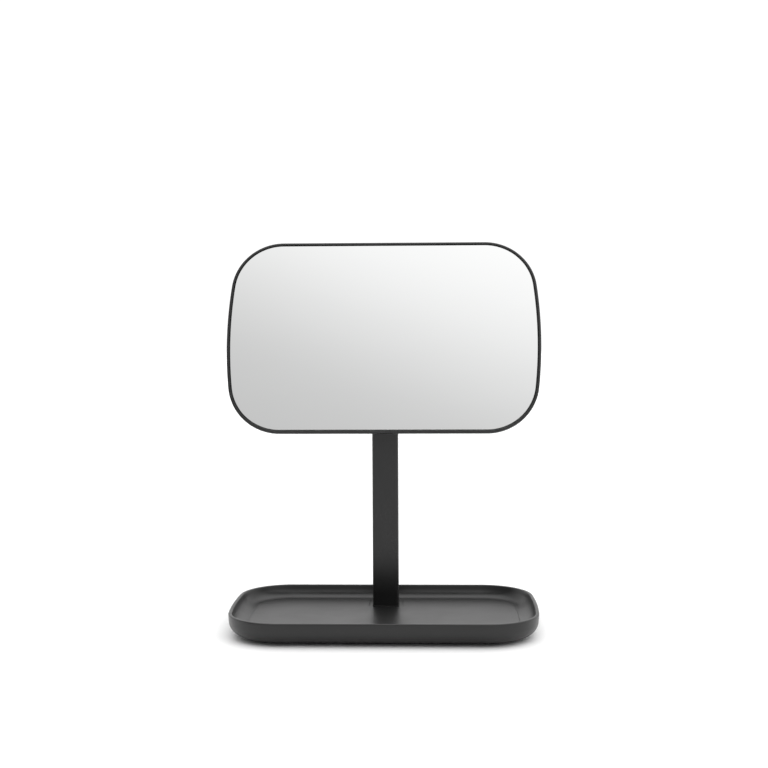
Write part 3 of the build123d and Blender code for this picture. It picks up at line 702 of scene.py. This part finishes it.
def edge_round(low, high, size):
    """Profile of a slab with both edges rounded."""
    profile = [(2 * size, low)]
    profile += round_profile((size, low + size), size, 270, 180, 4)
    profile += round_profile((size, high - size), size, 180, 90, 4)
    return profile + [(2 * size, high)]


def eye_wear(point, inset, height):
    """Rubbing is on the rounded edges and the flat ends."""
    return 0.7 if inset > 0.05 else 0.0


def make_knuckle():
    """Slab on the swivel's flange with the tongue and eye of the tilt hinge."""
    bm = new_bmesh()
    shoulder = KNUCKLE_TOP - KNUCKLE_ROUND
    slab = [(1, KNUCKLE_BOTTOM), (KNUCKLE_BREAK, KNUCKLE_BOTTOM), (0, KNUCKLE_BOTTOM + KNUCKLE_BREAK),
            (0, shoulder)]
    slab += round_profile((KNUCKLE_ROUND, shoulder), KNUCKLE_ROUND, 180, 90)[1:]
    slab += [(KNUCKLE_ROUND + FLAT_MARGIN, KNUCKLE_TOP)]
    add_caps(bm, add_rings(bm, rounded_outline(STEM_HALF, STEM_EDGE), slab, AT_STEM, stem_wear))
    meet = math.degrees(math.asin(TONGUE_HALF / EYE_RADIUS))
    foot = KNUCKLE_TOP - 1 - PIVOT.z
    outline = arc((0, 0), EYE_RADIUS, meet - 90, 270 - meet, 36)
    left = Vector((-1, 0))
    right = Vector((1, 0))
    outline += [(Vector((-TONGUE_HALF, foot + TONGUE_FLARE)), left), (Vector((-TONGUE_HALF, foot)), left)]
    outline += [(Vector((TONGUE_HALF, foot)), right), (Vector((TONGUE_HALF, foot + TONGUE_FLARE)), right)]
    add_caps(bm, add_rings(bm, outline, edge_round(-EYE_HALF, EYE_HALF, EYE_ROUND), ACROSS, eye_wear))
    finish_piece(bm, "tilt_knuckle", "knuckle", "knuckle_paint", ["swivel_knuckle"])


# ---------------------------------------------------------------- mirror head

def lip_wear(point, inset, height):
    """Rubbing is on the front of the lip only."""
    return 1.0 if height > FACE_HEIGHT - LIP_WEAR_DEPTH else 0.0


def make_shell():
    """Thin shell: narrow rounded lip in front, one large round from the side into the back."""
    bm = new_bmesh()
    inner = (LIP_WIDTH - LIP_INNER_ROUND, FACE_HEIGHT - LIP_INNER_ROUND)
    outer = (LIP_OUTER_ROUND, FACE_HEIGHT - LIP_OUTER_ROUND)
    back = (SHELL_ROUND, SHELL_BACK + SHELL_ROUND)
    profile = [(LEDGE_INSET, LEDGE), (LIP_WIDTH, LEDGE)]
    profile += round_profile(inner, LIP_INNER_ROUND, 0, 90, 4)
    profile += round_profile(outer, LIP_OUTER_ROUND, 90, 180, 8)
    profile += round_profile(back, SHELL_ROUND, 180, 270, 18)[1:]
    profile += [(SHELL_ROUND + 0.5, SHELL_BACK)]
    rings = add_rings(bm, bowed_outline(HEAD_OUTLINE), profile, HEAD, lip_wear)
    add_caps(bm, rings)
    finish_piece(bm, "mirror_shell", "head", "shell_plastic", ["back_shell"])


def make_glass():
    """Mirror glass with a bright bevel round the front and a ground side."""
    bm = new_bmesh()
    profile = [(GLASS_INSET + GLASS_BREAK, GLASS_BACK), (GLASS_INSET, GLASS_BACK + GLASS_BREAK),
               (GLASS_INSET, GLASS_FRONT - GLASS_BEVEL), (GLASS_INSET + GLASS_BEVEL, GLASS_FRONT)]
    rings = add_rings(bm, bowed_outline(HEAD_OUTLINE), profile, HEAD)
    add_caps(bm, rings)
    for face in bm.faces:
        face.material_index = 1
    bm.faces.ensure_lookup_table()
    bm.faces[-1].material_index = 0
    finish_piece(bm, "silvered_glass", "head", "mirror", ["mirror_glass"], extra=[GROUND_EDGE])


def make_bracket():
    """Plate screwed to the shell's back with two ears that take the tilt pin."""
    bm = new_bmesh()
    plate = [(0.3, SHELL_BACK), (0, SHELL_BACK - 0.2)]
    plate += round_profile((BRACKET_ROUND, BRACKET_BACK + BRACKET_ROUND), BRACKET_ROUND, 180, 270)
    plate += [(BRACKET_ROUND + 0.5, BRACKET_BACK)]
    add_caps(bm, add_rings(bm, rounded_outline(BRACKET_HALF, BRACKET_CORNER, 12), plate, HEAD, eye_wear))
    # Ear drawn from the side: local X points out of the mirror's face, local Y up the mirror
    end = BRACKET_BACK + 0.5
    slope = math.atan2(EAR_FLARE, end)
    up = Vector((-math.sin(slope), math.cos(slope)))
    down = Vector((up.x, -up.y))
    ear = arc((0, 0), EYE_RADIUS, 90, 270, 28)
    ear += [(Vector((end, -EYE_RADIUS - EAR_FLARE)), down), (Vector((end, EYE_RADIUS + EAR_FLARE)), up)]
    side = HEAD @ Matrix(((0, 0, 1, 0), (0, 1, 0, 0), (1, 0, 0, 0), (0, 0, 0, 1)))
    for low, high in ((EAR_INNER, EAR_OUTER), (-EAR_OUTER, -EAR_INNER)):
        add_caps(bm, add_rings(bm, ear, edge_round(low, high, EAR_ROUND), side, eye_wear))
    finish_piece(bm, "ear_bracket", "head", "knuckle_paint", ["hinge_bracket"])


def make_bracket_screws():
    """Screws from inside the shell: domed heads with a lobed drive, tips just past the bracket."""
    bm = new_bmesh()
    drive = lobes(*SCREW_DRIVE)
    tip = BRACKET_BACK - TIP_PROUD
    head = BACKING_TOP + SCREW_HEAD_HEIGHT
    rings = [(SCREW_RADIUS - 0.4, tip), (SCREW_RADIUS - 0.15, tip + 0.08), (SCREW_RADIUS, tip + 0.35),
             (SCREW_RADIUS, BACKING_TOP), (SCREW_HEAD_RADIUS, BACKING_TOP), (SCREW_HEAD_RADIUS, head - 1.0),
             (SCREW_HEAD_RADIUS - 0.4, head - 0.3), (SCREW_HEAD_RADIUS - 1.0, head), (drive, head),
             (drive, head - SCREW_DRIVE_DEPTH)]
    for x, y in SCREW_PLACES:
        add_caps(bm, add_turned(bm, rings, HEAD @ Matrix.Translation((x, y, 0))))
    finish_piece(bm, "shell_screws", "head", "steel", ["bracket_screws"])


def make_tilt_bolt():
    """Cap screw: round head with a chamfered rim and a hexagon socket, then a plain shank."""
    bm = new_bmesh()
    socket = polygon(6, TILT_KEY_FLATS)
    face, edge = TILT_HEAD_FACE, TILT_HEAD_EDGE
    rings = [(socket, face + TILT_KEY_DEPTH), (socket, face), (TILT_HEAD_RADIUS - edge, face),
             (TILT_HEAD_RADIUS, face + edge), (TILT_HEAD_RADIUS, -EAR_OUTER - 0.25),
             (TILT_HEAD_RADIUS - 0.2, -EAR_OUTER), (TILT_PIN_RADIUS, -EAR_OUTER),
             (TILT_PIN_RADIUS, TILT_PIN_END - 0.45), (TILT_PIN_RADIUS - 0.4, TILT_PIN_END)]
    add_caps(bm, add_turned(bm, rings, ACROSS))
    finish_piece(bm, "tilt_pin_screw", "head", "steel", ["tilt_bolt"])


def make_tilt_nut():
    """Self-locking nut: chamfered hexagon with the round collar that holds the nylon ring."""
    bm = new_bmesh()
    low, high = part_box("tilt_nut")
    start, end = low.x / MM, high.x / MM
    collar = end - NUT_COLLAR_HEIGHT
    hexagon = polygon(6, NUT_FLATS)

    def eased(limit):
        return lambda angle: min(hexagon(angle), limit)

    rings = [(eased(NUT_CORNER - 0.55), start), (eased(NUT_CORNER), start + 0.35),
             (eased(NUT_CORNER), collar - 0.4), (eased(NUT_CORNER - 0.5), collar - 0.05),
             (NUT_COLLAR, collar), (NUT_COLLAR, end - 0.3), (NUT_COLLAR - 0.3, end),
             (RING_BORE + 0.05, end), (RING_BORE - 0.05, end - 0.4)]
    add_caps(bm, add_turned(bm, rings, ACROSS))
    finish_piece(bm, "locking_nut", "head", "steel", ["tilt_nut"])


def make_tilt_rings():
    """Friction washers inside the ears and the disc spring under the nut."""
    bm = new_bmesh()
    near, far, edge = EYE_HALF + RUNNING_FIT, EAR_INNER, 0.2
    for low, high in ((near, far), (-far, -near)):
        rings = [(RING_BORE, low), (WASHER_RADIUS - edge, low), (WASHER_RADIUS, low + edge),
                 (WASHER_RADIUS, high - edge), (WASHER_RADIUS - edge, high), (RING_BORE, high)]
        add_caps(bm, add_turned(bm, rings, ACROSS))
    finish_piece(bm, "friction_washers", "head", "bush_plastic", ["tilt_washers"])
    bm = new_bmesh()
    top = EAR_OUTER + SPRING_THICKNESS
    rings = [(RING_BORE, EAR_OUTER + 0.05), (SPRING_RADIUS - 0.1, EAR_OUTER),
             (SPRING_RADIUS, EAR_OUTER + 0.15), (SPRING_RADIUS - 0.05, EAR_OUTER + 0.4),
             (RING_BORE + 0.5, top), (RING_BORE, top)]
    add_caps(bm, add_turned(bm, rings, ACROSS))
    finish_piece(bm, "disc_spring", "head", "steel", ["tilt_spring"])


# ---------------------------------------------------------------- nodes that stay as the CAD has them

def dress_cad_nodes():
    """Give every CAD node the material of its slot."""
    for part in frame["record"]["subparts"]:
        mesh = frame["nodes"][part["node"]].data
        mesh.materials.clear()
        mesh.materials.append(MATERIALS[part["material_slot"]])


# ---------------------------------------------------------------- camera, studio, floor

def make_camera():
    """Nearly level view from just right of the middle, about 0.95 m in front."""
    data = bpy.data.cameras.new("camera")
    data.sensor_width = CAMERA_SENSOR
    data.lens = CAMERA_LENS
    data.clip_start, data.clip_end = CAMERA_CLIP
    camera = bpy.data.objects.new("camera", data)
    camera.location = Vector(CAMERA_PLACE) * MM
    pitch_down, roll, yaw = CAMERA_TURN
    camera.rotation_euler = (math.pi / 2 - pitch_down, roll, yaw)
    scene.collection.objects.link(camera)
    scene.camera = camera


def make_world():
    """A white studio, bright overhead, with a greyer band in front that the mirror sees."""
    world = bpy.data.worlds.new("studio")
    scene.world = world
    world.use_nodes = True
    graph = Graph(world.node_tree)
    direction = graph.add("ShaderNodeTexCoord").outputs["Generated"]
    split = graph.add("ShaderNodeSeparateXYZ", {"Vector": direction})
    x, y, z = split.outputs
    # Height above the horizon in degrees, tilted so that the lit part dips towards +X
    elevation = graph.math("MULTIPLY", graph.math("ARCSINE", z), 180 / math.pi)
    tilted = graph.math("MULTIPLY_ADD", x, LIGHT_DIP, elevation)
    ramp = graph.add("ShaderNodeValToRGB", {"Fac": graph.math("DIVIDE", tilted, 90.0)})
    # The ramp's curve is cut off at 1, so it holds radiances as shares of RADIANCE_UNIT
    ramp.color_ramp.interpolation = "B_SPLINE"
    elements = ramp.color_ramp.elements
    elements.remove(elements[-1])
    for i, (place, level) in enumerate(SKY):
        element = elements[0] if i == 0 else elements.new(place)
        element.position = place
        element.color = grey(level / RADIANCE_UNIT)
    # Behind the object the backdrop stays white, and overhead both meet
    behind = graph.spread(y, *BEHIND_FADE, smooth=True)
    overhead = graph.spread(z, *OVERHEAD_FADE, smooth=True)
    behind_share = graph.math("MULTIPLY", behind, graph.math("SUBTRACT", 1.0, overhead))
    studio = graph.mix(behind_share, ramp.outputs[0], grey(BACKDROP_LIGHT / RADIANCE_UNIT))
    # The backdrop itself is plain white
    seen = graph.add("ShaderNodeLightPath").outputs["Is Camera Ray"]
    colour = graph.mix(seen, studio, grey(BACKDROP_SEEN / RADIANCE_UNIT))
    background = graph.add("ShaderNodeBackground", {"Color": colour, "Strength": RADIANCE_UNIT})
    graph.add("ShaderNodeOutputWorld", {"Surface": background.outputs[0]})


def make_floor():
    """Plain white table top, wide enough to reach the horizon."""
    mesh = bpy.data.meshes.new("floor")
    signs = ((-1, -1), (1, -1), (1, 1), (-1, 1))
    mesh.from_pydata([(x * TABLE_REACH, y * TABLE_REACH, 0) for x, y in signs], [], [(0, 1, 2, 3)])
    floor = bpy.data.objects.new("floor", mesh)
    scene.collection.objects.link(floor)
    top = surface("white_table", 0.9, 0.6, specular=0.2, mottle=(300, 0.01), grain=(1, 0.002))
    mesh.materials.append(top)


make_camera()
make_world()
make_floor()
scene.view_settings.view_transform = "Standard"
dress_cad_nodes()
make_tray()
make_mat()
make_feet()
make_base_screws()
make_base_cover()
make_stem()
make_gasket()
make_stem_pins()
make_head_plug()
make_knuckle()
make_shell()
make_glass()
make_bracket()
make_bracket_screws()
make_tilt_bolt()
make_tilt_nut()
make_tilt_rings()
